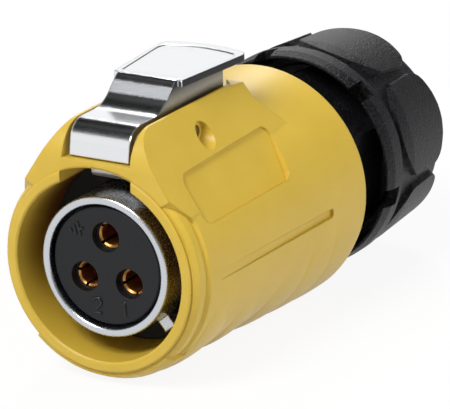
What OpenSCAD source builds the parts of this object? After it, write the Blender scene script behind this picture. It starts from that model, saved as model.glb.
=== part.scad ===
// Locking power plug: a round three-contact cable plug with a latch lever, a rear body and a
// clamp nut. Millimetres. The origin is the centre of the hood's mouth, +X runs along the plug
// to the cable end, and +Z points up, through the latch.

/* [Hood] */
// Radius of the bore that goes over the mating connector
hood_bore_r = 10.7; // [10.3:0.1:10.9]
// Outer radius of the flat lip round the mouth
lip_r = 11.95; // [11.8:0.05:12.1]
// Depth of the hood, from the mouth to its bottom
hood_depth = 9.2; // [8.8:0.1:9.6]
// Length of the sloping collar behind the lip
collar_len = 2.9; // [2.4:0.1:3.2]
// Width of the notch in the bore, below the latch
notch_w = 9.2; // [9:0.1:9.6]
// Depth of the notch, outward from the bore
notch_depth = 1.2; // [0.8:0.05:1.22]
// Thickness of the rubber seal at the hood's bottom
seal_t = 0.9; // [0.7:0.05:1.1]

/* [Housing] */
// Length of the housing, from the mouth to its rear rim
housing_len = 37.2; // [37:0.1:39]
// Outer radius of the housing just behind the collar
body_front_r = 12.9; // [12.8:0.05:13]
// Outer radius of the housing at its rear rim
body_rear_r = 13.87; // [13.8:0.01:14.2]
// Thickness of the wall that carries the contact insert
bulkhead_t = 2.8; // [2.4:0.1:3.2]
// Radius of the chamber behind that wall
chamber_r = 9.8; // [9.7:0.05:9.9]
// Radius of the rear bore that takes the rear body
rear_bore_r = 12.0; // [11.8:0.05:12.1]
// Length of the rear bore
rear_bore_len = 13.0; // [12:0.1:13.4]

/* [Finger grip] */
// Spacing of the grip ribs underneath
grip_pitch = 7.3; // [6.9:0.1:7.6]
// How far the grip's centre lies below the axis
grip_drop = 0.8; // [0.7:0.05:1]
// Crown of each full rib above its two ends
grip_crown = 0.34; // [0.2:0.02:0.4]
// Half angle of the pad under the lip
lip_pad_angle = 43; // [30:1:50]
// Height of the flat that the plug lies on, below the axis
rest_drop = 13.45; // [13.42:0.01:13.6]

/* [Pedestal] */
// Height of the pedestal's top above the axis
pedestal_top = 16.35; // [16.2:0.05:16.6]
// Width across the pedestal's top edges
pedestal_w = 9.5; // [9.4:0.05:10]
// Distance of the sloping side flats from the axis
flat_r = 13.0; // [12.95:0.01:13.1]
// Where the pedestal begins behind the mouth
pedestal_front = 0.3; // [0.2:0.05:0.5]
// Radius of the pedestal's rounded nose
nose_r = 4.2; // [3.8:0.1:4.4]
// Where the pedestal's top ends
pedestal_rear = 24.2; // [23.8:0.1:24.6]
// Fall of the top towards its rear end
rear_fall = 0.4; // [0.2:0.05:0.6]
// Radius of the hollow below the rear end
rear_hollow_r = 2.5; // [2:0.1:3]
// Distance of the sunk side panels from the mouth
panel_front = 4.5; // [4.2:0.1:5]
// Length of a sunk panel
panel_len = 19.4; // [17:0.1:19.6]
// Corner radius of a sunk panel
panel_round = 1.3; // [1:0.1:1.6]
// Depth of a sunk panel
panel_depth = 0.3; // [0.2:0.02:0.4]

/* [Latch slot] */
// Width of the slot between the two cheeks
slot_w = 8.8; // [8.6:0.05:9]
// Where the slot ends
slot_rear = 22.5; // [22.4:0.1:22.8]
// Width of the channel that leads on from the slot, at its rear
channel_w = 5.6; // [5:0.1:6.4]
// Height of the slot's floor above the axis
slot_floor = 11.0; // [10.9:0.05:11.2]
// Thickness of the bridge across the mouth, front to back
bridge_t = 1.8; // [1.5:0.1:2.2]
// Height of the bridge's top above the axis
bridge_top = 12.55; // [12.5:0.05:12.8]

/* [Latch lever] */
// Distance of the pivot from the mouth
pivot_x = 12.55; // [12.3:0.05:12.8]
// Height of the pivot above the axis
pivot_z = 13.35; // [13.3:0.05:13.5]
// Width of the lever between the cheeks
lever_w = 7.7; // [7.5:0.05:7.9]
// Thickness of the lever's sheet
lever_t = 0.8; // [0.7:0.05:0.9]
// Height of the lever's low shelf
shelf_z = 16.5; // [16.3:0.05:16.6]
// Height of the thumb pad's top
pad_z = 19.45; // [19.4:0.05:19.7]
// Width of the thumb pad at its front
pad_front_w = 8.9; // [8.6:0.1:9.4]
// Width of the thumb pad at its rear
pad_rear_w = 11.0; // [10:0.1:11.4]
// Where the thumb pad ends, from the mouth
pad_rear = 25.4; // [24.8:0.1:25.8]
// Corner radius of the thumb pad
pad_round = 2.2; // [1.6:0.1:2.6]
// Depth of the field pressed into the thumb pad
field_depth = 0.08; // [0.05:0.01:0.2]
// Height of the hook's tip above the axis
hook_tip_z = 9.0; // [8.9:0.05:9.2]
// Thickness of the hook
hook_t = 1.1; // [0.9:0.05:1.2]

/* [Pivot pin and spring] */
// Radius of the pivot pin
pin_r = 0.8; // [0.7:0.05:0.9]
// Length of the pivot pin
pin_len = 11.2; // [10.8:0.1:11.6]
// Diameter of the spring's wire
wire_d = 0.5; // [0.4:0.05:0.6]
// Inside radius of the spring's coil
coil_r = 1.0; // [0.95:0.05:1.1]
// Number of turns in the coil
coil_turns = 4; // [3:1:5]

/* [Contact insert] */
// Outer radius of the metal shell round the insert
shell_r = 8.2; // [8:0.05:8.3]
// Wall of the metal shell
shell_t = 0.95; // [0.8:0.05:1]
// Distance of the shell's front edge from the mouth
shell_front = 1.34; // [1.1:0.02:1.6]
// Distance of the insulator's face from the mouth
insulator_front = 1.9; // [1.7:0.02:2.1]
// Radius of the circle that the contacts stand on
contact_circle_r = 3.36; // [3.3:0.02:3.4]
// Bore of the socket contacts
contact_bore_r = 1.25; // [1.2:0.01:1.3]
// Outer radius of the socket contacts
contact_r = 1.6; // [1.55:0.01:1.65]
// Depth of the contacts' mouths below the insulator's face
contact_recess = 1.0; // [0.8:0.05:1.2]
// Radius of the hole in the insulator in front of each contact
recess_r = 1.75; // [1.7:0.01:1.85]
// Radius of the terminal screws
screw_r = 0.9; // [0.8:0.05:0.95]

/* [Rear body] */
// Size of the hexagon across its flats
hex_af = 19.0; // [18.6:0.1:19.2]
// Length of the hexagon behind the housing
hex_len = 12.0; // [11.6:0.1:12.2]
// Turn of the hexagon from standing on a corner, about the axis
hex_turn = 4; // [0:1:30]
// Radius of the rear thread
rear_thread_r = 10.6; // [10.5:0.05:10.7]
// Bore of the rear body
rear_body_bore_r = 9.0; // [8.8:0.05:9.1]
// Radius of the O-ring's cord
cord_r = 0.82; // [0.78:0.01:0.86]

/* [Cable clamp] */
// Radius of the cable hole in the seal
cable_r = 5.5; // [4:0.1:5.8]
// Wall of the seal
seal_wall = 2.0; // [1.8:0.05:2.1]
// Number of claws on the collet
claw_count = 8; // [6:1:10]
// Width of the gaps between the claws
claw_gap = 1.0; // [0.8:0.1:1.4]

/* [Clamp nut] */
// Length of the nut
nut_len = 16.1; // [15.9:0.1:17]
// Distance of its skirt from the housing
skirt_gap = 6.7; // [6.5:0.1:7]
// Number of lobes, and of slots in the skirt
lobe_count = 6; // [5:1:8]
// Outer radius of the castellated skirt
skirt_r = 13.4; // [13.3:0.02:13.4]
// Wall of the skirt at its front
skirt_wall = 0.65; // [0.5:0.05:0.8]
// Length of the skirt
skirt_len = 3.6; // [3.4:0.1:3.8]
// Width of the slots in the skirt
skirt_slot_w = 2.3; // [2:0.1:2.6]
// Radius over the lobes at their front
lobe_r = 13.2; // [13.1:0.02:13.3]
// Width of each lobe
lobe_w = 11.5; // [10.4:0.1:11.8]
// Height of the lobes above the valleys
lobe_height = 0.65; // [0.5:0.05:0.9]
// Turn of the lobes from the top, about the axis
lobe_turn = 13; // [0:1:30]
// Hole in the nut's end
nut_hole_r = 6.6; // [6.3:0.05:6.8]

/* [Fits] */
// Clearance between parts that slide or turn on each other
running_gap = 0.05; // [0.03:0.01:0.08]
// Clearance between seated parts
seat_gap = 0.03; // [0.02:0.01:0.06]

/* [Hidden] */
$fn = 96;
over = 1; // how far a cutting solid reaches past the face it cuts

yellow = "#D9B23A";
black = "#2A2A2C";
chrome = "#D8DADC";
nickel = "#B8BCC2";
gold = "#C79A4B";
rubber = "#1C1C1E";

// stations along the axis
bulkhead_rear = hood_depth + bulkhead_t;
rear_bore_x = housing_len - rear_bore_len;
hex_end = housing_len + hex_len;
skirt_front = housing_len + skirt_gap;
total_len = skirt_front + nut_len;
rear_thread_end = total_len - 6.0;
lip_round = 0.25;
mouth_chamfer = 0.2;

// finger grip: three full ribs, then two short ones that share what is left of the housing
grip_start = 3.4;
grip_end = housing_len - 1.2;
full_ribs = 3;
full_end = grip_start + full_ribs * grip_pitch;
short_pitch = (grip_end - full_end) / 2;
lip_pad_rise = 0.55;

// pedestal: the angle of its side flats, and the stations of its rear end
flat_angle = atan2(pedestal_top, pedestal_w / 2) - acos(flat_r / norm([pedestal_w / 2, pedestal_top]));
fall_start = pedestal_rear - 4;
rear_top = pedestal_top - rear_fall;
slot_narrow = slot_rear - 1.7;

// latch
front_lean = 10;
front_nose_r = 2.5;
ramp_r = 5;
ramp_angle = 42;
pad_nose_r = 1.2;
shelf_end = 6.2;
nose_centre = [pedestal_front + 3.42, shelf_z - front_nose_r];
ramp_centre = [shelf_end, shelf_z + ramp_r];
ramp_top = ramp_centre + ramp_r * [cos(ramp_angle - 90), sin(ramp_angle - 90)];
pad_nose_z = pad_z - pad_nose_r;
pad_nose_start_z = pad_nose_z + pad_nose_r * sin(90 + ramp_angle);
pad_nose_x = ramp_top.x + (pad_nose_start_z - ramp_top.y) / tan(ramp_angle)
    - pad_nose_r * cos(90 + ramp_angle);
ear_r = 1.9;
hook_x = 5.4;
flange_end = slot_rear - 0.8;
flange_bottom = pivot_z + 0.65;

// insert
insert_seat = bulkhead_rear;
shell_flange_r = chamber_r - 0.3;
shell_flange_t = 2.0;
shell_rear = insert_seat + shell_flange_t;
insulator_r = shell_r - shell_t - seat_gap;
insulator_face_r = insulator_r - 0.32;
contact_front = insulator_front + contact_recess;
contact_flange_x = insert_seat;
contact_flange_t = 1.0;
contact_flange_r = contact_r + 0.6;
barrel_r = contact_r + 0.35;
insulator_rear_r = insulator_r - 0.3;
insert_nut_t = 2.4;
screw_x = shell_rear + insert_nut_t + 3.2;
barrel_end = screw_x + 4.2;
key_angle = 51; // of the key on the shell, below the horizontal

// clamp
groove_x = housing_len - 4.2;
groove_w = 2.3 * cord_r;
shoulder_t = 2.0;
seat_x = housing_len + 9.6;
shoulder_r = cable_r + 1.0;
collet_flange_t = 1.0;
claw_end = total_len - 2.25;
washer_t = 0.5;
washer_gap = 0.15;
washer_x = claw_end + washer_gap;
pocket_rear = washer_x + washer_t + seat_gap;
nut_bore_r = rear_thread_r + 0.08;
corner_r = hex_af / 2 / cos(30);
skirt_bore_r = skirt_r - skirt_wall;
cavity_end = hex_end + 0.4;
cavity_r = corner_r + 0.7;
skirt_rear = skirt_front + skirt_len;
washer_r = rear_body_bore_r + 0.4;
lobe_step = 360 / lobe_count;

function arc(c, r, a0, a1, n = 12) =
    [for (i = [0:n]) let (a = a0 + (a1 - a0) * i / n) c + r * [cos(a), sin(a)]];
function reverse(list) = [for (i = [len(list) - 1:-1:0]) list[i]];
function body_r(x) = body_front_r
    + (body_rear_r - body_front_r) * (x - collar_len) / (housing_len - collar_len);
function contact_pos(angle) = contact_circle_r * [cos(angle), sin(angle)];

// a profile of [radius, x] points turned about the plug's axis
module turned(points) {
    rotate([0, 90, 0]) rotate_extrude() polygon(points);
}

// a ring from x0 to x1
module ring(x0, x1, r_out, r_in) {
    turned([[r_in, x0], [r_out, x0], [r_out, x1], [r_in, x1]]);
}

// a rod along the axis direction, from x0 to x1
module rod(x0, x1, r, r2 = undef) {
    translate([x0, 0, 0]) rotate([0, 90, 0])
        cylinder(h = x1 - x0, r1 = r, r2 = is_undef(r2) ? r : r2);
}

// a rod across the plug, centred on the middle plane
module cross_rod(x, z, r, length) {
    translate([x, 0, z]) rotate([90, 0, 0]) cylinder(h = length, r = r, center = true);
}

// a shape drawn in x and z, given a width across the plug
module slab(width) {
    translate([0, width / 2, 0]) rotate([90, 0, 0]) linear_extrude(width) children();
}

module both_sides() {
    children();
    mirror([0, 1, 0]) children();
}

// ---------------------------------------------------------------- housing

module housing_skin() {
    rim = 0.35;
    lip_groove = 0.12;
    collar_step = 0.42;
    turned(concat(
        [[0, 0], [lip_r - lip_round, 0]],
        arc([lip_r - lip_round, lip_round], lip_round, -90, 0, 5),
        [[lip_r - lip_groove, lip_round + 0.1], [lip_r - lip_groove, lip_round + 0.2]],
        [[lip_r + 0.25, lip_round + 0.2], [body_front_r - 0.3, 1.1]],
        [[body_front_r - 0.25, collar_len - 0.8], [body_front_r - collar_step, collar_len - 0.3]],
        [[body_front_r - 0.06, collar_len], [body_front_r, collar_len + 0.1]],
        arc([body_rear_r - rim, housing_len - rim], rim, 0, 90, 6),
        [[0, housing_len]]
    ));
}

// the ribs are barrels turned about a line below the axis, so they fade out up the sides
module grip_ribs() {
    end_r = [12.42, 12.46, 12.64, 13.28, 13.56, 13.7];
    crown = [grip_crown, grip_crown, 0.26, 0.1, 0.08];
    stations = concat(
        [for (i = [0:full_ribs]) grip_start + i * grip_pitch],
        [full_end + short_pitch, grip_end]
    );
    translate([0, 0, -grip_drop])
        for (i = [0:len(crown) - 1])
            turned(concat(
                [[0, stations[i]]],
                [for (t = [0:0.125:1]) let (s = pow(t, 0.7)) [
                    end_r[i] + (end_r[i + 1] - end_r[i]) * t + crown[i] * 4 * s * (1 - s),
                    stations[i] + (stations[i + 1] - stations[i]) * t
                ]],
                [[0, stations[i + 1]]]
            ));
    translate([0, 0, -grip_drop])
        turned([[0, grip_end], [end_r[5], grip_end], [end_r[5] - 0.12, housing_len - 0.5],
            [end_r[5] - 0.45, housing_len], [0, housing_len]]);
}

module lip_pad() {
    rotate([0, 90, 0]) rotate_extrude(angle = 2 * lip_pad_angle, start = -lip_pad_angle)
        polygon([[lip_r - 1, lip_round + 0.2], [lip_r + lip_pad_rise, lip_round + 0.2],
            [body_front_r + 0.15, 1.6], [body_front_r + 0.15, grip_start + 0.2],
            [lip_r - 1, grip_start + 0.2]]);
}

module pedestal() {
    half = pedestal_w / 2;
    tangent = flat_r * [cos(flat_angle), sin(flat_angle)];
    hollow = [pedestal_rear + 0.1 + rear_hollow_r, rear_top - 0.55];
    foot = hollow + rear_hollow_r * [cos(225), sin(225)];
    difference() {
        intersection() {
            slab(4 * body_rear_r) {
                translate([pedestal_front + nose_r, pedestal_top - nose_r]) circle(r = nose_r);
                polygon(concat(
                    [[pedestal_front, 0], [pedestal_front, pedestal_top - nose_r],
                        [pedestal_front + nose_r, pedestal_top - nose_r],
                        [pedestal_front + nose_r, pedestal_top], [fall_start, pedestal_top],
                        [pedestal_rear, rear_top]],
                    arc(hollow, rear_hollow_r, 180, 225, 8),
                    [foot + [foot.y - chamber_r, chamber_r - foot.y], [foot.x, 0]]
                ));
            }
            rotate([90, 0, 90]) linear_extrude(housing_len)
                polygon([[-half, pedestal_top], [half, pedestal_top], tangent, [tangent.x, 0],
                    [-tangent.x, 0], [-tangent.x, tangent.y]]);
        }
        rear_channel();
        flank_corner();
    }
}

// the slot leads on to the rear between two walls that turn inwards
module rear_channel() {
    wide = slot_w / 2 - 0.2;
    narrow = channel_w / 2;
    turn_x = slot_rear + 0.2;
    translate([0, 0, chamber_r]) linear_extrude(pedestal_top)
        polygon([[slot_narrow, -wide], [turn_x, -wide], [pedestal_rear, -narrow],
            [housing_len, -narrow], [housing_len, narrow], [pedestal_rear, narrow],
            [turn_x, wide], [slot_narrow, wide]]);
}

// each flank is cut back at its lower front corner, down to the collar
module flank_corner() {
    on_flat(4) polygon([[-over, 2.8], [0.35, 2.6], [1.35, 1.3], [2.5, -0.15],
        [collar_len, -1.2], [collar_len, -3], [-over, -3]]);
}

// a shape drawn in x and s, sunk into each side flat; s runs up the flat from its tangent line
module on_flat(depth) {
    both_sides() rotate([flat_angle, 0, 0]) translate([0, flat_r + 3, 0])
        rotate([90, 0, 0]) linear_extrude(depth + 3) children();
}

module side_panel() {
    front = panel_front + panel_round;
    rear = panel_front + panel_len - panel_round;
    low = panel_round - 1.65;
    high = 4.65 - panel_round;
    lean = 1.0;
    rise = 0.45;
    on_flat(panel_depth) polygon(concat(
        arc([rear, high + rise], panel_round, 0, 90, 6),
        arc([front, high], panel_round, 90, 180, 6),
        arc([front, low], panel_round, 180, 270, 6),
        arc([rear - lean, low], panel_round, 270, 360, 6)
    ));
}

// a long shallow recess along each side, deepest at its rounded rear end
module side_recess() {
    recess_front = 6.2;
    recess_len = housing_len - 7.7 - recess_front;
    half_w = 0.55;
    front_depth = 0.06;
    rear_depth = 0.42;
    corner = 0.4;
    floor_front = body_r(recess_front) - front_depth;
    floor_rear = body_r(recess_front + recess_len) - rear_depth;
    both_sides() translate([recess_front, floor_front, 0])
        rotate([0, 0, atan((floor_rear - floor_front) / recess_len)])
        translate([0, 2, 0]) rotate([90, 0, 0]) linear_extrude(2) polygon(concat(
            [[-over, half_w], [-over, -half_w]],
            arc([recess_len - corner, corner - half_w], corner, 270, 360, 4),
            arc([recess_len - corner, half_w - corner], corner, 0, 90, 4)
        ));
}

module latch_slot() {
    slab(slot_w) {
        polygon([
            [-over, bridge_top], [pedestal_front + bridge_t, bridge_top],
            [pedestal_front + bridge_t, hood_bore_r - 2], [hood_depth - 0.6, hood_bore_r - 2],
            [hood_depth - 0.6, slot_floor], [slot_narrow, slot_floor],
            [slot_narrow, pedestal_top + over], [-over, pedestal_top + over]
        ]);
    }
    slab(slot_w - 0.4) polygon([
        [slot_narrow - over, slot_floor], [slot_rear, slot_floor],
        [slot_rear, pedestal_top + over], [slot_narrow - over, pedestal_top + over]
    ]);
    intersection() {
        rod(-over, hood_depth - 0.6, hood_bore_r + notch_depth);
        translate([-over, -notch_w / 2, 0])
            cube([hood_depth - 0.6 + over, notch_w, hood_bore_r + 2]);
    }
}

module pin_seat() {
    cross_rod(pivot_x, pivot_z, pin_r + seat_gap / 2, 4 * slot_w);
    both_sides() translate([pivot_x, pin_len / 2, pivot_z]) rotate([-90, 0, 0])
        cylinder(h = 4, r1 = pin_r + 0.45, r2 = pin_r + 1.2);
}

module housing() {
    color(yellow) difference() {
        union() {
            housing_skin();
            lip_pad();
            grip_ribs();
            pedestal();
        }
        translate([-over, -2 * body_rear_r, -rest_drop - 5])
            cube([housing_len + 2 * over, 4 * body_rear_r, 5]);
        rod(-over, hood_depth, hood_bore_r);
        rod(-0.01, mouth_chamfer, hood_bore_r + mouth_chamfer, hood_bore_r);
        rod(0, housing_len, shell_r + seat_gap);
        rod(bulkhead_rear, housing_len, chamber_r);
        rod(rear_bore_x, housing_len + over, rear_bore_r);
        latch_slot();
        pin_seat();
        side_panel();
        side_recess();
    }
}

module hood_seal() {
    color(rubber) ring(hood_depth - seal_t, hood_depth, hood_bore_r - 0.1, shell_r + 0.1);
}

// ---------------------------------------------------------------- latch

// outline of the lever's sheet seen from the side, from the front edge to the end of the ramp
function lever_outer() = concat(
    [[nose_centre.x - front_nose_r * cos(front_lean)
        - (nose_centre.y + front_nose_r * sin(front_lean) - bridge_top - 0.2) * tan(front_lean),
        bridge_top + 0.2]],
    arc(nose_centre, front_nose_r, 180 - front_lean, 90),
    arc(ramp_centre, ramp_r, -90, ramp_angle - 90),
    arc([pad_nose_x, pad_nose_z], pad_nose_r, 90 + ramp_angle, 90, 6)
);
function lever_inner() = concat(
    [lever_outer()[0] + [lever_t * cos(front_lean), 0]],
    arc(nose_centre, front_nose_r - lever_t, 180 - front_lean, 90),
    arc(ramp_centre, ramp_r + lever_t, -90, ramp_angle - 90),
    arc([pad_nose_x, pad_nose_z], pad_nose_r - lever_t, 90 + ramp_angle, 90, 6)
);

module lever_sheet() {
    slab(lever_w) polygon(concat(lever_outer(), reverse(lever_inner())));
}

// outline of the thumb pad from above, drawn in by the given inset
module pad_outline(inset) {
    bulge_r = 15;
    front = pad_nose_x - 0.1 + 1.5 * inset;
    half_front = pad_front_w / 2 - inset;
    half_rear = pad_rear_w / 2 - inset;
    rear = pad_rear - 2.4 * inset;
    intersection() {
        polygon(concat(
            [[front, half_front], [front, -half_front]],
            arc([rear - pad_round, pad_round - half_rear], pad_round, 275, 360, 6),
            arc([rear - pad_round, half_rear - pad_round], pad_round, 0, 85, 6)
        ));
        translate([rear - bulge_r, 0]) circle(r = bulge_r);
    }
}

module thumb_pad() {
    border = 0.55;
    difference() {
        translate([0, 0, pad_z - lever_t]) linear_extrude(lever_t) pad_outline(0);
        translate([0, 0, pad_z - field_depth]) linear_extrude(lever_t) pad_outline(border);
    }
}

module lever_flanges() {
    flange = [
        [hook_x + hook_t, shelf_z - lever_t], [hook_x + hook_t, slot_floor + 1.2],
        [pivot_x - ear_r * 0.6, pivot_z - ear_r * 0.8], [pivot_x, pivot_z - ear_r],
        [pivot_x + ear_r, flange_bottom],
        [flange_end, flange_bottom], [flange_end, pad_z - lever_t / 2],
        [pad_nose_x, pad_z - lever_t / 2]
    ];
    both_sides() translate([0, lever_w / 2 - lever_t / 2, 0]) slab(lever_t)
        difference() {
            union() {
                polygon(concat(flange, reverse(arc(ramp_centre, ramp_r + lever_t / 2,
                    -90, ramp_angle - 90))));
                translate([pivot_x, pivot_z]) circle(r = ear_r);
            }
            translate([pivot_x, pivot_z]) circle(r = pin_r + running_gap);
        }
}

module hook() {
    slab(lever_w) polygon([
        [hook_x, shelf_z - lever_t / 2], [hook_x, hook_tip_z + 0.5], [hook_x + 0.3, hook_tip_z],
        [hook_x + hook_t, hook_tip_z], [hook_x + hook_t, shelf_z - lever_t / 2]
    ]);
}

module latch_lever() {
    color(chrome) union() {
        lever_sheet();
        thumb_pad();
        lever_flanges();
        hook();
    }
}

module latch_pin() {
    chamfer = 0.15;
    color(nickel) translate([pivot_x, -pin_len / 2, pivot_z]) rotate([-90, 0, 0])
        rotate_extrude() polygon([
            [0, 0], [pin_r - chamfer, 0], [pin_r, chamfer], [pin_r, pin_len - chamfer],
            [pin_r - chamfer, pin_len], [0, pin_len]
        ]);
}

// wire swept along a list of points that never runs along the y axis
module wire(points, d, sides = 8) {
    last = len(points) - 1;
    rings = [for (i = [0:last])
        let (
            a = points[max(i - 1, 0)],
            b = points[min(i + 1, last)],
            t = (b - a) / norm(b - a),
            u = cross(t, [0, 1, 0]) / norm(cross(t, [0, 1, 0])),
            v = cross(u, t)
        )
        for (k = [0:sides - 1])
            points[i] + d / 2 * (cos(360 * k / sides) * u + sin(360 * k / sides) * v)
    ];
    polyhedron(
        points = rings,
        faces = concat(
            [[for (k = [0:sides - 1]) k]],
            [for (i = [0:last - 1]) for (k = [0:sides - 1]) let (n = (k + 1) % sides)
                [i * sides + k, (i + 1) * sides + k, (i + 1) * sides + n, i * sides + n]],
            [[for (k = [sides - 1:-1:0]) last * sides + k]]
        )
    );
}

module latch_spring() {
    mean_r = coil_r + wire_d / 2;
    step = wire_d + 0.12;
    half = coil_turns * step / 2;
    centre = [pivot_x, 0, pivot_z];
    per_turn = 20;
    // the lower leg lies on the slot's floor and the upper one under the thumb pad
    low_drop = pivot_z - mean_r - slot_floor - wire_d / 2 - seat_gap;
    low_len = 5.0;
    high_rise = pad_z - lever_t - pivot_z - mean_r - wire_d / 2 - seat_gap;
    high_len = 6.5;
    // the coil starts and ends on its underside and top, where the legs leave it to the rear
    coil = [for (i = [0:coil_turns * per_turn - per_turn / 2])
        let (a = -90 - 360 * i / per_turn, y = -half + step * i / per_turn)
        centre + [mean_r * cos(a), y, mean_r * sin(a)]];
    end = coil[len(coil) - 1];
    color(nickel) wire(concat(
        [coil[0] + [low_len, 0, -low_drop], coil[0] + [low_len / 2, 0, -low_drop / 2]],
        coil,
        [end + [high_len / 2, 0, high_rise / 2], end + [high_len, 0, high_rise]]
    ), wire_d);
}

// ---------------------------------------------------------------- contact insert

module contact_shell() {
    edge = 0.3;
    inner = shell_r - shell_t;
    color(nickel) union() {
        turned(concat(
            [[inner, shell_front + edge]],
            arc([inner + edge, shell_front + edge], edge, 180, 270, 4),
            arc([shell_r - edge, shell_front + edge], edge, 270, 360, 4),
            [[shell_r, insert_seat], [shell_flange_r, insert_seat], [shell_flange_r, shell_rear],
                [inner, shell_rear]]
        ));
        shell_key();
    }
}

// the key that lets the plug enter one way round only
module shell_key() {
    key_w = 1.6;
    key_h = 1.5;
    key_len = 2.4;
    key_x = shell_front + 3.8;
    rotate([key_angle - 90, 0, 0]) translate([key_x, -key_w / 2, -shell_r - key_h])
        cube([key_len, key_w, key_h + shell_t / 2]);
}

module at_contacts() {
    for (angle = [90, 210, 330])
        translate([0, contact_pos(angle).x, contact_pos(angle).y]) children();
}

module front_insulator() {
    color(black) difference() {
        turned([[0, insulator_front], [insulator_face_r - 0.15, insulator_front],
            [insulator_face_r, insulator_front + 0.15], [insulator_face_r, insulator_front + 1.6],
            [insulator_r, insulator_front + 1.6], [insulator_r, contact_flange_x],
            [0, contact_flange_x]]);
        at_contacts() {
            rod(insulator_front - over, contact_front, recess_r);
            rod(insulator_front - over, contact_flange_x + over, contact_r + seat_gap);
        }
    }
}

module rear_insulator() {
    x0 = contact_flange_x;
    color(black) difference() {
        turned([[0, x0], [insulator_r, x0], [insulator_r, shell_rear],
            [insulator_rear_r, shell_rear], [insulator_rear_r, barrel_end - 1], [0, barrel_end - 1]]);
        at_contacts() {
            rod(x0 - over, x0 + contact_flange_t + seat_gap, contact_flange_r + seat_gap);
            rod(x0, barrel_end + over, barrel_r + seat_gap);
        }
        for (angle = [90, 210, 330])
            translate([screw_x, 0, 0]) rotate([angle, 0, 0])
                translate([0, contact_circle_r, 0]) rotate([-90, 0, 0])
                    cylinder(h = insulator_r, r = screw_r + 0.5);
    }
}

module insert_nut() {
    x0 = shell_rear;
    slot_depth = 1.0;
    color(nickel) difference() {
        ring(x0, x0 + insert_nut_t, chamber_r - seat_gap, insulator_rear_r + seat_gap);
        for (turn = [0, 90])
            rotate([turn, 0, 0]) translate([x0 + insert_nut_t - slot_depth, -chamber_r, -0.7])
                cube([slot_depth + over, 2 * chamber_r, 1.4]);
    }
}

module contact(angle) {
    mouth = 0.2;
    bore_end = contact_flange_x - 1;
    wire_r = contact_bore_r;
    slit = 0.35;
    slit_len = 6;
    color(gold) translate([0, contact_pos(angle).x, contact_pos(angle).y]) difference() {
        turned([[0, contact_front], [contact_r - 0.1, contact_front],
            [contact_r, contact_front + 0.1], [contact_r, contact_flange_x],
            [contact_flange_r, contact_flange_x],
            [contact_flange_r, contact_flange_x + contact_flange_t],
            [barrel_r, contact_flange_x + contact_flange_t], [barrel_r, barrel_end],
            [0, barrel_end]]);
        rod(contact_front - over, bore_end, contact_bore_r);
        rod(contact_front - 0.01, contact_front + mouth, contact_bore_r + mouth, contact_bore_r);
        rod(screw_x - 2.2, barrel_end + over, wire_r);
        rotate([angle + 45, 0, 0]) for (turn = [0, 90]) rotate([turn, 0, 0])
            translate([contact_front - over, -contact_r - over, -slit / 2])
                cube([slit_len + over, 2 * contact_r + 2 * over, slit]);
        translate([screw_x, 0, 0]) rotate([angle, 0, 0]) rotate([-90, 0, 0])
            cylinder(h = barrel_r + over, r = screw_r);
    }
}

module terminal_screw(angle) {
    tip = 0.35;
    head_r = screw_r + 0.3;
    head_low = barrel_r + 0.15;
    head_t = 0.9;
    driver = 0.35;
    color(nickel) translate([screw_x, contact_pos(angle).x, contact_pos(angle).y])
        rotate([angle, 0, 0]) rotate([-90, 0, 0]) difference() {
            union() {
                translate([0, 0, tip]) cylinder(h = head_low, r = screw_r - 0.02);
                translate([0, 0, head_low]) cylinder(h = head_t, r = head_r);
            }
            translate([-head_r, -driver / 2, head_low + head_t / 2])
                cube([2 * head_r, driver, head_t]);
        }
}

// ---------------------------------------------------------------- rear body and clamp

module rear_body() {
    front = rear_bore_x + 0.6;
    groove_r = rear_bore_r - 2 * cord_r - 0.06;
    hex_chamfer = 1.2;
    color(black) difference() {
        union() {
            turned([[0, front], [rear_bore_r - seat_gap - 0.4, front],
                [rear_bore_r - seat_gap, front + 0.4], [rear_bore_r - seat_gap, groove_x],
                [groove_r, groove_x], [groove_r, groove_x + groove_w],
                [rear_bore_r - seat_gap, groove_x + groove_w],
                [rear_bore_r - seat_gap, housing_len - 0.2], [0, housing_len - 0.2]]);
            // the hexagon's rear edge is turned to a chamfer
            intersection() {
                translate([housing_len - 0.2, 0, 0]) rotate([hex_turn, 0, 0]) rotate([0, 90, 0])
                    cylinder(h = hex_len + 0.2, r = corner_r, $fn = 6);
                turned([[0, housing_len - 1], [corner_r + 1, housing_len - 1],
                    [corner_r + 1, hex_end - hex_chamfer], [hex_af / 2 - 0.1, hex_end],
                    [0, hex_end]]);
            }
            rod(hex_end - 0.1, rear_thread_end, rear_thread_r);
        }
        rod(front - over, seat_x - shoulder_t, rear_body_bore_r);
        rod(seat_x - shoulder_t - over, seat_x + over, shoulder_r);
        rod(seat_x, rear_thread_end + over, rear_body_bore_r);
    }
}

module body_o_ring() {
    color(rubber) translate([groove_x + groove_w / 2, 0, 0]) rotate([0, 90, 0])
        rotate_extrude() translate([rear_bore_r - cord_r - 0.03, 0]) circle(r = cord_r);
}

module clamp_collet() {
    inner = cable_r + seal_wall + seat_gap;
    claw_root = seat_x + (claw_end - seat_x) * 0.4;
    flange_r = rear_thread_r - 0.4;
    flange_x = rear_thread_end + seat_gap;
    color(black) difference() {
        turned([[inner, seat_x + seat_gap], [rear_body_bore_r - seat_gap, seat_x + seat_gap],
            [rear_body_bore_r - seat_gap, flange_x], [flange_r, flange_x],
            [flange_r, flange_x + collet_flange_t], [rear_body_bore_r, claw_end],
            [inner, claw_end]]);
        for (i = [0:claw_count - 1])
            rotate([360 * i / claw_count, 0, 0]) translate([claw_root, 0, -claw_gap / 2])
                cube([claw_end - claw_root + over, rear_thread_r, claw_gap]);
    }
}

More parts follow.
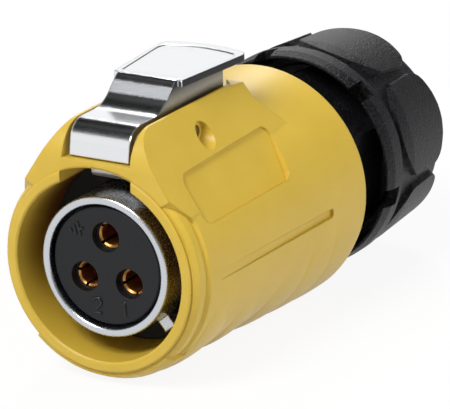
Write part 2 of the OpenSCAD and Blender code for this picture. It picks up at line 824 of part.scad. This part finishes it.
module cable_seal() {
    x0 = seat_x + seat_gap;
    x1 = claw_end - 0.5;
    outer = cable_r + seal_wall;
    color(rubber) turned([[cable_r, x0 + 1], [cable_r + 0.6, x0], [outer, x0],
        [outer, x1], [cable_r + 0.6, x1], [cable_r, x1 - 1]]);
}

module slip_washer() {
    color(nickel) ring(washer_x, washer_x + washer_t, washer_r, nut_hole_r + 0.1);
}

module nut_core() {
    rear_round = 1.2;
    valley_r = lobe_r - lobe_height;
    front_bevel = [0.35, 1.3];
    turned(concat(
        [[skirt_bore_r, skirt_front], [skirt_r - front_bevel.x, skirt_front],
            [skirt_r, skirt_front + front_bevel.y],
            [skirt_r, skirt_rear - 0.5], [skirt_r - 0.25, skirt_rear - 0.3],
            [skirt_r - 0.2, skirt_rear - 0.1], [valley_r, skirt_rear + 1.1]],
        arc([valley_r - 0.5 - rear_round, total_len - 0.4 - rear_round], rear_round, 0, 90, 6),
        [[nut_hole_r + 1.2, total_len - 0.1], [nut_hole_r + 0.3, total_len - 0.1],
            [nut_hole_r, total_len - 0.4], [nut_hole_r, pocket_rear],
            [washer_r + 0.2, pocket_rear], [washer_r + 0.2, claw_end],
            [nut_bore_r, rear_thread_end + 1.6], [nut_bore_r, cavity_end],
            [cavity_r, cavity_end]]
    ));
}

// outline of a lobe laid flat, in [distance along the axis, distance to the side]: a round front
// and a flatter rear, joined to the straight sides by rounded corners
function lobe_outline() =
    let (
        front_x = skirt_rear + 0.9, rear_x = total_len - 0.75,
        front_r = 6.9, rear_r = 12, front_round = 1.6, rear_round = 2.2,
        front_c = [front_x + front_r, 0],
        rear_c = [rear_x - rear_r, 0],
        front_v = lobe_w / 2 - front_round,
        rear_v = lobe_w / 2 - rear_round,
        front_t = asin(front_v / (front_r - front_round)),
        rear_t = asin(rear_v / (rear_r - rear_round)),
        front_k = front_c + (front_r - front_round) * [-cos(front_t), sin(front_t)],
        rear_k = rear_c + (rear_r - rear_round) * [cos(rear_t), sin(rear_t)]
    )
    concat(
        arc(rear_c, rear_r, -rear_t, rear_t, 5),
        arc(rear_k, rear_round, rear_t, 90, 4),
        arc(front_k, front_round, 90, 180 - front_t, 4),
        arc(front_c, front_r, 180 - front_t, 180 + front_t, 8),
        arc([front_k.x, -front_k.y], front_round, 180 + front_t, 270, 4),
        arc([rear_k.x, -rear_k.y], rear_round, 270, 360 - rear_t, 4)
    );

// one raised lobe, underneath
module lobe() {
    rear_r = lobe_r - 0.55;
    edge = 0.6;
    intersection() {
        turned(concat(
            [[lobe_r - 1.6, skirt_rear], [lobe_r - 0.15, skirt_rear], [lobe_r, skirt_rear + 3]],
            arc([rear_r - edge, total_len - 0.6], edge, 0, 90, 4),
            [[lobe_r - 1.9, total_len]]
        ));
        rotate([180, 0, 0]) linear_extrude(2 * lobe_r) polygon(lobe_outline());
    }
}

module clamp_nut() {
    slot_depth = 2.45;
    color(black) difference() {
        union() {
            nut_core();
            for (i = [0:lobe_count - 1])
                rotate([180 + lobe_turn + i * lobe_step, 0, 0]) lobe();
        }
        for (i = [0:lobe_count - 1])
            rotate([180 + lobe_turn + (i + 0.5) * lobe_step, 0, 0])
                translate([skirt_front - over, -skirt_slot_w / 2, -skirt_r - over])
                    cube([slot_depth + over, skirt_slot_w, 4]);
    }
}

housing();
hood_seal();
latch_lever();
latch_pin();
latch_spring();
contact_shell();
front_insulator();
rear_insulator();
insert_nut();
contact(210);  // contact_1
contact(330);  // contact_2
contact(90);  // contact_earth
terminal_screw(210);  // terminal_screw_1
terminal_screw(330);  // terminal_screw_2
terminal_screw(90);  // terminal_screw_earth
rear_body();
body_o_ring();
clamp_collet();
cable_seal();
slip_washer();
clamp_nut();
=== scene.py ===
"""A round locking cable plug: yellow hooded housing, chrome latch lever, three socket contacts,
black rear body and clamp nut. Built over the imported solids, in metres."""
import math
import bpy
from mathutils import Matrix, Vector


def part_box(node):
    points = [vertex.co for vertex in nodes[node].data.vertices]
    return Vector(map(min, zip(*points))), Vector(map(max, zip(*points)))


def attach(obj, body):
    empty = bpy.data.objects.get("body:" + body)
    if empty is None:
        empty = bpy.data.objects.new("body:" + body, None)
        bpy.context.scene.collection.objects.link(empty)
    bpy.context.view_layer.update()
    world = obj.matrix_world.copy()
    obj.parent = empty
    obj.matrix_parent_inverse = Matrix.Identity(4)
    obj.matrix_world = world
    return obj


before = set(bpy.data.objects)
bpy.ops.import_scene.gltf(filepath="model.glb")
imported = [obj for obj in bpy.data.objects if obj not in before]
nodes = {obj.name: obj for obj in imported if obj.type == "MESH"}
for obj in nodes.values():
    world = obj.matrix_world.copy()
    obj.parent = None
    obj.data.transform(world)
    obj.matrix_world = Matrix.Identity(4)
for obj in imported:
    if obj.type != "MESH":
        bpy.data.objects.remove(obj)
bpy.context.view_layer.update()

# ---------------------------------------------------------------- the table, the lights, the view
# The plug lies on the flat of its finger grip, on a white card under three soft boxes: a broad one
# before its mouth, one at its -Y side and a small one behind. The walls that the metal mirrors are
# white low down, dark above and pale overhead, which draws the black bands on the chrome.
mm = 0.001
# the card lies a hair below the flat, so that no two faces share a plane
card_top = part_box("housing")[0][2] - 0.02 * mm
card_reach = 3.0


def linear(code):
    """A hex colour as a designer writes it, turned into the renderer's linear numbers."""
    parts = [int(code[i:i + 2], 16) / 255 for i in (1, 3, 5)]
    return [p / 12.92 if p <= 0.04045 else ((p + 0.055) / 1.055) ** 2.4 for p in parts] + [1.0]


def add(tree, kind, links=(), **settings):
    """One node, with its settings, and its inputs set to values or linked to other sockets."""
    node = tree.nodes.new(kind)
    for name, value in settings.items():
        setattr(node, name, value)
    for socket, value in dict(links).items():
        if isinstance(value, bpy.types.NodeSocket):
            tree.links.new(value, node.inputs[socket])
        else:
            node.inputs[socket].default_value = value
    return node


card_mesh = bpy.data.meshes.new("table")
corners = [(-1, -1), (1, -1), (1, 1), (-1, 1)]
card_mesh.from_pydata([(x * card_reach, y * card_reach, card_top) for x, y in corners],
                      [], [(0, 1, 2, 3)])
card = bpy.data.objects.new("table", card_mesh)
bpy.context.scene.collection.objects.link(card)

# seen or mirrored, the card is nearly plain white, and it still takes the plug's shadow
white_share = 0.86
white_card = bpy.data.materials.new("white_card")
white_card.use_nodes = True
tree = white_card.node_tree
tree.nodes.clear()
rays = add(tree, "ShaderNodeLightPath")
seen = add(tree, "ShaderNodeMath", {0: rays.outputs["Is Camera Ray"],
                                    1: rays.outputs["Is Glossy Ray"]}, operation="MAXIMUM")
seen = add(tree, "ShaderNodeMath", {0: seen.outputs[0],
                                    1: rays.outputs["Is Transmission Ray"]}, operation="MAXIMUM")
share = add(tree, "ShaderNodeMath", {0: seen.outputs[0], 1: white_share}, operation="MULTIPLY")
paper = add(tree, "ShaderNodeBsdfDiffuse", {"Color": linear("#CCCCCA")})
glow = add(tree, "ShaderNodeEmission", {"Color": (1, 1, 1, 1), "Strength": 1.05})
both = add(tree, "ShaderNodeMixShader", {0: share.outputs[0], 1: paper.outputs[0],
                                         2: glow.outputs[0]})
add(tree, "ShaderNodeOutputMaterial", {"Surface": both.outputs[0]})
card_mesh.materials.append(white_card)

# how bright the mirrored walls are, by the upward share of the direction that looks at them
wall_tones = [(0.46, 1.0), (0.64, 0.01), (0.84, 0.012), (0.90, 0.12), (0.97, 0.6)]
studio = bpy.data.worlds.new("studio")
bpy.context.scene.world = studio
studio.use_nodes = True
tree = studio.node_tree
tree.nodes.clear()
rays = add(tree, "ShaderNodeLightPath")
direction = add(tree, "ShaderNodeTexCoord")
toward = add(tree, "ShaderNodeSeparateXYZ", {"Vector": direction.outputs["Generated"]})
walls = add(tree, "ShaderNodeValToRGB", {"Fac": toward.outputs["Z"]})
stops = walls.color_ramp.elements
for index, (place, level) in enumerate(wall_tones):
    stop = stops[index] if index < 2 else stops.new(place)
    stop.position = place
    stop.color = (level, level, level, 1)
# the wall toward -Y is further away, so it shows darker
side = add(tree, "ShaderNodeMapRange", {"Value": toward.outputs["Y"], "From Min": -0.2,
                                        "From Max": 0.4, "To Min": 0.22, "To Max": 1.0})
fill = add(tree, "ShaderNodeBackground", {"Color": linear("#F6F7F9"), "Strength": 0.30})
mirror = add(tree, "ShaderNodeBackground", {"Color": walls.outputs["Color"],
                                            "Strength": side.outputs[0]})
white = add(tree, "ShaderNodeBackground", {"Color": (1, 1, 1, 1), "Strength": 1.0})
glossy = add(tree, "ShaderNodeMixShader", {0: rays.outputs["Is Glossy Ray"],
                                           1: fill.outputs[0], 2: mirror.outputs[0]})
shown = add(tree, "ShaderNodeMath", {0: rays.outputs["Is Camera Ray"],
                                     1: rays.outputs["Is Transmission Ray"]},
            operation="MAXIMUM")
sky = add(tree, "ShaderNodeMixShader", {0: shown.outputs[0], 1: glossy.outputs[0],
                                        2: white.outputs[0]})
add(tree, "ShaderNodeOutputWorld", {"Surface": sky.outputs[0]})


def lamp(name, place, target, size, power, mirrored=True):
    """A square soft box, turned to face a point on the plug. The metal may mirror it or not."""
    light = bpy.data.lights.new(name, "AREA")
    light.shape = "SQUARE"
    light.size = size
    light.energy = power
    holder = bpy.data.objects.new(name, light)
    holder.visible_glossy = mirrored
    holder.location = place
    holder.rotation_euler = (Vector(target) - Vector(place)).to_track_quat("-Z", "Y").to_euler()
    bpy.context.scene.collection.objects.link(holder)


lamp("key_box", place=(-0.37, 0.06, 0.45), target=(0.02, 0, 0), size=0.24, power=2.9)
lamp("side_box", place=(0.15, -0.60, 0.35), target=(0.03, 0, 0), size=0.35, power=1.9,
     mirrored=False)
lamp("back_box", place=(0.426, 0.234, 0.386), target=(0.03, 0, 0), size=0.10, power=1.15)

# the camera stands before the mouth, toward -Y and a little above; it looks 18.6 degrees down,
# turned 59.4 degrees from square on to the plug's -Y side, and is held a little askew
camera_place = (-0.3521, -0.2249, 0.1483)
bearing = math.radians(-59.3903)
tilt = math.radians(90 - 18.6379)
askew = math.radians(-1.2527)
camera_data = bpy.data.cameras.new("camera")
camera_data.lens = 320
camera_data.sensor_width = 36
camera = bpy.data.objects.new("camera", camera_data)
camera.matrix_world = (Matrix.Translation(camera_place) @ Matrix.Rotation(bearing, 4, "Z")
                       @ Matrix.Rotation(tilt, 4, "X") @ Matrix.Rotation(askew, 4, "Z"))
bpy.context.scene.collection.objects.link(camera)
bpy.context.scene.camera = camera
bpy.context.scene.view_settings.view_transform = "Standard"

# ---------------------------------------------------------------- housing
# The housing is one moulding in glass-filled nylon, dyed golden yellow. The tool was
# spark-eroded, so the skin has a fine even grain and a satin shine, and every edge is
# very slightly rounded.


def start(name, colour, roughness, metallic=0.0):
    """A new material with the plain finish of its surface, ready for its grain."""
    material = bpy.data.materials.new(name)
    material.use_nodes = True
    tree = material.node_tree
    tree.nodes.clear()
    skin = add(tree, "ShaderNodeBsdfPrincipled", {
        "Base Color": linear(colour), "Roughness": roughness, "Metallic": metallic})
    add(tree, "ShaderNodeOutputMaterial", {"Surface": skin.outputs[0]})
    return material, tree, skin


def vary_shine(tree, skin, pattern, smooth, rough):
    """Lets the roughness drift between smooth and rough with a noise pattern."""
    shine = add(tree, "ShaderNodeMapRange", {"Value": pattern.outputs["Fac"], "From Min": 0.3,
                                             "From Max": 0.7, "To Min": smooth, "To Max": rough})
    tree.links.new(shine.outputs[0], skin.inputs["Roughness"])


def vary_colour(tree, pattern, dark, pale):
    """A colour that goes from dark to pale with a noise pattern. Each is a place and a colour."""
    tone = add(tree, "ShaderNodeValToRGB", {"Fac": pattern.outputs["Fac"]})
    for stop, (place, colour) in zip(tone.color_ramp.elements, (dark, pale)):
        stop.position = place
        stop.color = linear(colour)
    return tone.outputs["Color"]


def finish_surface(tree, skin, pattern, strength, depth, edge_round, samples):
    """Rounds the edges in the shading and raises a noise pattern on the skin."""
    edges = add(tree, "ShaderNodeBevel", {"Radius": edge_round}, samples=samples)
    relief = add(tree, "ShaderNodeBump", {"Height": pattern.outputs["Fac"],
                                          "Strength": strength, "Distance": depth,
                                          "Normal": edges.outputs[0]})
    tree.links.new(relief.outputs[0], skin.inputs["Normal"])


def dress(name, material):
    """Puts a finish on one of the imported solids."""
    mesh = nodes[name].data
    mesh.materials.clear()
    mesh.materials.append(material)


# a Mix node's sockets share their names, so they go by their place
number_a, number_b, colour_a, colour_b = 2, 3, 6, 7
colour_out = 2

yellow_nylon, tree, skin = start("yellow_glass_filled_nylon", "#D5B340", roughness=0.42)
place = add(tree, "ShaderNodeTexCoord")
axes = add(tree, "ShaderNodeSeparateXYZ", {"Vector": place.outputs["Object"]})
# spark-eroded grain; the real one is 0.1 mm and is drawn at 0.3 mm so that it shows
grain_width = 0.3 * mm
grain = add(tree, "ShaderNodeTexNoise", {"Vector": place.outputs["Object"],
                                         "Scale": 1 / grain_width, "Detail": 3.0,
                                         "Roughness": 0.65})
# slow drift of the dye over a few millimetres
drift_width = 6 * mm
drift = add(tree, "ShaderNodeTexNoise", {"Vector": place.outputs["Object"],
                                         "Scale": 1 / drift_width, "Detail": 3.0,
                                         "Roughness": 0.5})
dye = vary_colour(tree, drift, dark=(0.3, "#D2B03D"), pale=(0.7, "#D8B643"))
# painted shade: inside the hood the colour is drawn deeper and redder, more so further in and
# higher up, where no lamp reaches, standing in for the dim light that bounces about there; the
# shade fades out between the bore and the lip
bore_radius, lip_radius = 10.72 * mm, 10.95 * mm
across = add(tree, "ShaderNodeVectorMath", {0: place.outputs["Object"], 1: (0, 1, 1)},
             operation="MULTIPLY")
radius = add(tree, "ShaderNodeVectorMath", {0: across.outputs[0]}, operation="LENGTH")
within = add(tree, "ShaderNodeMapRange", {"Value": radius.outputs["Value"],
                                          "From Min": lip_radius, "From Max": bore_radius})
inward = add(tree, "ShaderNodeMapRange", {"Value": axes.outputs["X"], "From Min": 0.2 * mm,
                                          "From Max": 7 * mm})
upward = add(tree, "ShaderNodeMapRange", {"Value": axes.outputs["Z"], "From Min": -10 * mm,
                                          "From Max": -1 * mm, "To Min": 0.15})
hood_shade = add(tree, "ShaderNodeMath", {0: within.outputs[0], 1: inward.outputs[0]},
             operation="MULTIPLY")
hood_shade = add(tree, "ShaderNodeMath", {0: hood_shade.outputs[0], 1: upward.outputs[0]},
             operation="MULTIPLY")
hood_painted_shade = add(tree, "ShaderNodeMix", {0: hood_shade.outputs[0], colour_a: dye,
                                       colour_b: linear("#94601C")}, data_type="RGBA")
tree.links.new(hood_painted_shade.outputs[colour_out], skin.inputs["Base Color"])
vary_shine(tree, skin, grain, smooth=0.36, rough=0.48)
finish_surface(tree, skin, grain, strength=0.3, depth=0.1 * mm, edge_round=0.26 * mm, samples=4)
dress("housing", yellow_nylon)

# ---------------------------------------------------------------- latch lever
# The lever is folded from 0.8 mm steel sheet and plated with bright chrome. The plate is mirror
# smooth, except on the ramp that the die has frosted, on the cut edges and flanks, and on the
# hook.
bright_chrome, tree, skin = start("bright_chrome_plate", "#E6E8EA", roughness=0.07,
                                   metallic=1.0)
place = add(tree, "ShaderNodeTexCoord")
axes = add(tree, "ShaderNodeSeparateXYZ", {"Vector": place.outputs["Object"]})
# the ramp below the thumb pad is frosted by the forming die
frost_front, frost_rear = 9.2 * mm, 10.9 * mm
along = add(tree, "ShaderNodeMapRange", {"Value": axes.outputs["X"], "From Min": frost_front,
                                         "From Max": frost_rear})
frosted = add(tree, "ShaderNodeValToRGB", {"Fac": along.outputs[0]})
frosted.color_ramp.interpolation = "EASE"
for stop in frosted.color_ramp.elements:
    stop.color = (0, 0, 0, 1)
for spot in (0.3, 0.7):
    frosted.color_ramp.elements.new(spot).color = (1, 1, 1, 1)
# the hook hangs below the front plate and isn't polished
hook_top, hook_plain = 12.4 * mm, 12.0 * mm
hook = add(tree, "ShaderNodeMapRange", {"Value": axes.outputs["Z"], "From Min": hook_top,
                                        "From Max": hook_plain})
# the cut edges and the flanks keep a rougher plate; their grey colour below is painted shade
surface = add(tree, "ShaderNodeNewGeometry")
facing = add(tree, "ShaderNodeSeparateXYZ", {"Vector": surface.outputs["True Normal"]})
sideways = add(tree, "ShaderNodeMath", {0: facing.outputs["Y"]}, operation="ABSOLUTE")
flank = add(tree, "ShaderNodeMapRange", {"Value": sideways.outputs[0], "From Min": 0.6,
                                         "From Max": 0.9})
dull = add(tree, "ShaderNodeMath", {0: frosted.outputs["Color"], 1: hook.outputs[0]},
           operation="MAXIMUM")
dull = add(tree, "ShaderNodeMath", {0: dull.outputs[0], 1: flank.outputs[0]},
           operation="MAXIMUM")
frost_width = 0.2 * mm
frost = add(tree, "ShaderNodeTexNoise", {"Vector": place.outputs["Object"],
                                         "Scale": 1 / frost_width, "Detail": 3.0,
                                         "Roughness": 0.7})
bright = add(tree, "ShaderNodeMapRange", {"Value": frost.outputs["Fac"], "From Min": 0.35,
                                          "From Max": 0.7, "To Min": 0.09, "To Max": 0.20})
rough = add(tree, "ShaderNodeMapRange", {"Value": frost.outputs["Fac"], "From Min": 0.35,
                                         "From Max": 0.7, "To Min": 0.40, "To Max": 0.60})
shine = add(tree, "ShaderNodeMix", {0: dull.outputs[0], number_a: bright.outputs[0],
                                    number_b: rough.outputs[0]})
tree.links.new(shine.outputs[0], skin.inputs["Roughness"])
frosty = add(tree, "ShaderNodeMix", {0: frosted.outputs["Color"], colour_a: linear("#E6E8EA"),
                                     colour_b: linear("#B4B6BA")}, data_type="RGBA")
# painted shade: the flanks are drawn greyer than the plate and darken upward, under the pad's rim
rim_start, rim_full = 17.2 * mm, 18.8 * mm
rim_shade = add(tree, "ShaderNodeMapRange", {"Value": axes.outputs["Z"], "From Min": rim_start,
                                       "From Max": rim_full})
flank_shade = add(tree, "ShaderNodeMix", {0: rim_shade.outputs[0], colour_a: linear("#A9A496"),
                                   colour_b: linear("#3E3E42")}, data_type="RGBA")
plate = add(tree, "ShaderNodeMix", {0: flank.outputs[0], colour_a: frosty.outputs[colour_out],
                                    colour_b: flank_shade.outputs[colour_out]}, data_type="RGBA")
tree.links.new(plate.outputs[colour_out], skin.inputs["Base Color"])
unevenness = add(tree, "ShaderNodeMapRange", {"Value": dull.outputs[0], "To Min": 0.12,
                                              "To Max": 0.9})
finish_surface(tree, skin, frost, strength=unevenness.outputs[0], depth=0.06 * mm,
               edge_round=0.25 * mm, samples=6)
dress("latch_lever", bright_chrome)

# ---------------------------------------------------------------- latch pin and spring
# The pin is ground steel and the spring is drawn piano wire. Their colour is drawn much darker
# than bare steel, as painted shade for the dark pivot hole, and the marks of their making leave
# them with a fine uneven shine.
shaded_drawn_steel, tree, skin = start("drawn_spring_steel_painted_shade", "#7C766E", roughness=0.3, metallic=1.0)
place = add(tree, "ShaderNodeTexCoord")
mark_width = 0.1 * mm
marks = add(tree, "ShaderNodeTexNoise", {"Vector": place.outputs["Object"],
                                         "Scale": 1 / mark_width, "Detail": 2.0})
vary_shine(tree, skin, marks, smooth=0.22, rough=0.4)
dress("latch_pin", shaded_drawn_steel)
dress("latch_spring", shaded_drawn_steel)

# ---------------------------------------------------------------- metal ring of the insert
# The ring is turned from brass and plated with satin nickel. Its front edge is tumbled round,
# and the plating has small pits that scatter the light.
satin_nickel, tree, skin = start("satin_nickel_plate", "#C9CDD3", roughness=0.24,
                                  metallic=1.0)
place = add(tree, "ShaderNodeTexCoord")
# the pits are 0.1 mm and are drawn at 0.3 mm so that they show
pit_width = 0.3 * mm
pits = add(tree, "ShaderNodeTexNoise", {"Vector": place.outputs["Object"],
                                        "Scale": 1 / pit_width, "Detail": 2.0,
                                        "Roughness": 0.5})
vary_shine(tree, skin, pits, smooth=0.24, rough=0.30)
finish_surface(tree, skin, pits, strength=0.04, depth=0.01 * mm, edge_round=0.3 * mm, samples=8)
dress("contact_shell", satin_nickel)

# ---------------------------------------------------------------- insulators and their marks
# The insulators are moulded in dark grey glass-filled nylon. The face carries the contacts'
# numbers and the earth sign as thin raised lines in the same plastic, drawn near black as painted
# shade, and smoother.
grey_nylon, tree, skin = start("dark_grey_moulded_nylon", "#141518", roughness=0.5)
skin.inputs["Specular IOR Level"].default_value = 0.32
place = add(tree, "ShaderNodeTexCoord")
face_grain_width = 0.14 * mm
grain = add(tree, "ShaderNodeTexNoise", {"Vector": place.outputs["Object"],
                                         "Scale": 1 / face_grain_width, "Detail": 2.0})
vary_shine(tree, skin, grain, smooth=0.42, rough=0.6)
finish_surface(tree, skin, grain, strength=0.1, depth=0.01 * mm, edge_round=0.12 * mm, samples=4)
dress("front_insulator", grey_nylon)
dress("rear_insulator", grey_nylon)

# painted shade: the raised lines are drawn near black, standing in for the shade along them
marks_shade_nylon, tree, skin = start("mark_painted_shade_nylon", "#060607", roughness=0.34)
place = add(tree, "ShaderNodeTexCoord")
mark_grain_width = 0.3 * mm
mark_grain = add(tree, "ShaderNodeTexNoise", {"Vector": place.outputs["Object"],
                                        "Scale": 1 / mark_grain_width, "Detail": 2.0})
vary_shine(tree, skin, mark_grain, smooth=0.26, rough=0.42)
# the lines stand in the insulator's face by a little more than half their thickness
line_radius = 0.18 * mm
line_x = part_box("front_insulator")[0][0] + 0.02 * mm


def raised_mark(name, strokes, centre, turn):
    """Raised lines on the insulator's face. Strokes are in mm, across and up as read from the
    mouth; centre is in mm along Y and Z; turn is in degrees."""
    data = bpy.data.curves.new(name, "CURVE")
    data.dimensions = "3D"
    data.bevel_depth = line_radius
    data.bevel_resolution = 3
    data.use_fill_caps = True
    c, s = math.cos(math.radians(turn)), math.sin(math.radians(turn))
    for points in strokes:
        line = data.splines.new("POLY")
        line.points.add(len(points) - 1)
        for point, (over, rise) in zip(line.points, points):
            y = centre[0] - (over * c - rise * s)
            z = centre[1] + over * s + rise * c
            point.co = (line_x, y * mm, z * mm, 1)
    piece = bpy.data.objects.new(name, data)
    bpy.context.scene.collection.objects.link(piece)
    data.materials.append(marks_shade_nylon)
    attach(piece, "plug")


# the 2 is an arc that runs on into its foot
bowl, bowl_up = 0.5, 0.4
arc = [math.radians(a) for a in range(160, -50, -15)]
two = [(bowl * math.cos(a), bowl_up + bowl * math.sin(a)) for a in arc]
two += [(-0.5, -0.85), (0.55, -0.85)]
one = [(-0.35, 0.5), (0, 0.85), (0, -0.85)]
# the earth sign is a stem over three bars, each shorter than the last
earth = [[(0, 1.0), (0, 0.45)]]
for half_width, rise in ((0.85, 0.45), (0.55, -0.1), (0.25, -0.65)):
    earth.append([(-half_width, rise), (half_width, rise)])
raised_mark("mark_two", [two], centre=(1.35, -4.85), turn=0)
raised_mark("mark_one", [one], centre=(-2.3, -4.75), turn=0)
raised_mark("mark_earth", earth, centre=(3.9, 3.75), turn=-75)

# ---------------------------------------------------------------- contacts
# Each contact is turned from brass, slit so that it springs, and plated with gold. The bore is
# in shade and glows a deep orange where light bounces about in it.
gold_plate, tree, skin = start("gold_plated_brass", "#D69C5A", roughness=0.4, metallic=1.0)
place = add(tree, "ShaderNodeTexCoord")
turning_width = 0.2 * mm
turning = add(tree, "ShaderNodeTexNoise", {"Vector": place.outputs["Object"],
                                           "Scale": 1 / turning_width, "Detail": 2.0})
vary_shine(tree, skin, turning, smooth=0.34, rough=0.48)
for name in ("contact_1", "contact_2", "contact_earth"):
    dress(name, gold_plate)

# ---------------------------------------------------------------- small steel parts
# Terminal screws, the ring nut and the slip washer are zinc-plated steel, a little blue and
# duller than nickel.
zinc_plate, tree, skin = start("zinc_plated_steel", "#BFC3C6", roughness=0.34, metallic=1.0)
place = add(tree, "ShaderNodeTexCoord")
spangle_width = 0.6 * mm
spangle = add(tree, "ShaderNodeTexNoise", {"Vector": place.outputs["Object"],
                                           "Scale": 1 / spangle_width, "Detail": 2.0})
vary_shine(tree, skin, spangle, smooth=0.26, rough=0.44)
for name in ("terminal_screw_1", "terminal_screw_2", "terminal_screw_earth", "insert_nut",
             "slip_washer"):
    dress(name, zinc_plate)

# ---------------------------------------------------------------- seals
# The gasket, the O-ring and the cable's sleeve are black silicone rubber with a bloom of
# release powder, so they are nearly without shine.
black_rubber, tree, skin = start("black_silicone_rubber", "#1D1D1F", roughness=0.7)
place = add(tree, "ShaderNodeTexCoord")
bloom_width = 1 * mm
bloom = add(tree, "ShaderNodeTexNoise", {"Vector": place.outputs["Object"],
                                         "Scale": 1 / bloom_width, "Detail": 4.0})
powder = vary_colour(tree, bloom, dark=(0.0, "#18181A"), pale=(1.0, "#262628"))
tree.links.new(powder, skin.inputs["Base Color"])
for name in ("hood_seal", "body_o_ring", "cable_seal"):
    dress(name, black_rubber)

# ---------------------------------------------------------------- rear body and clamp nut
# The rear body, the collet and the clamp nut are moulded in black glass-filled nylon. Glass
# near the skin shows as a fine pale speckle where the lamps strike it.
black_nylon, tree, skin = start("black_glass_filled_nylon", "#131315", roughness=0.45)
# carbon black takes most of the gloss away
skin.inputs["Specular IOR Level"].default_value = 0.26
place = add(tree, "ShaderNodeTexCoord")
# the speckle is 0.1 mm and is drawn at 0.25 mm so that it shows
speckle_width = 0.25 * mm
speckle = add(tree, "ShaderNodeTexNoise", {"Vector": place.outputs["Object"],
                                           "Scale": 1 / speckle_width, "Detail": 2.0,
                                           "Roughness": 0.6})
glass = vary_colour(tree, speckle, dark=(0.50, "#0E0E10"), pale=(0.66, "#2C2C31"))
tree.links.new(glass, skin.inputs["Base Color"])
vary_shine(tree, skin, speckle, smooth=0.34, rough=0.52)
finish_surface(tree, skin, speckle, strength=0.8, depth=0.2 * mm, edge_round=0.25 * mm,
               samples=4)
for name in ("rear_body", "clamp_collet", "clamp_nut"):
    dress(name, black_nylon)
